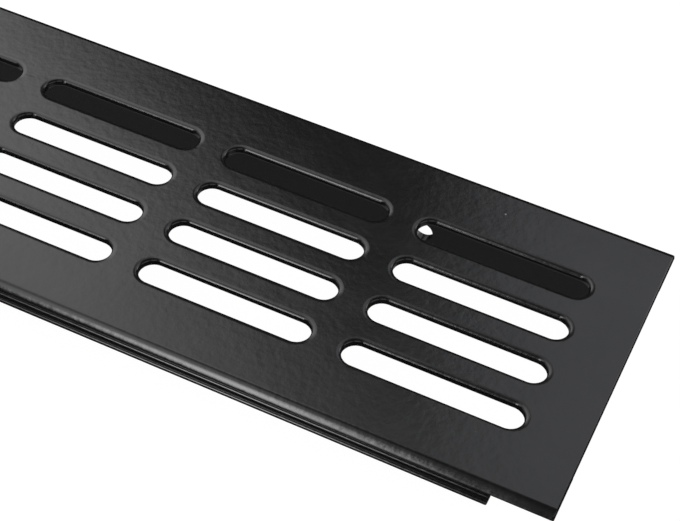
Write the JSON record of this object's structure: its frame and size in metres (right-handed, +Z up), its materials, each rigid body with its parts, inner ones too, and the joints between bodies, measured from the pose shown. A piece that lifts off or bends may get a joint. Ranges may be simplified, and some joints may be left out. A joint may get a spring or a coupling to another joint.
{
  "type": "ventilation grille",
  "caption": "Flat slotted ventilation grille in black coated aluminium profile, with rounded long edges and two legs below that reach into a panel cut-out.",
  "frame": {"origin": "on the surface under the legs, below the middle of the plate", "axes": "+X along the plate, +Y to the rear, towards the leg with the screw holes, +Z up, out of the visible face"},
  "size_m": [0.1968, 0.06, 0.013],
  "materials": {
    "black_powder_coat": "satin black powder coat"
  },
  "bodies": {
    "root": {"vent_grille": "black_powder_coat"}
  },
  "joints": []
}
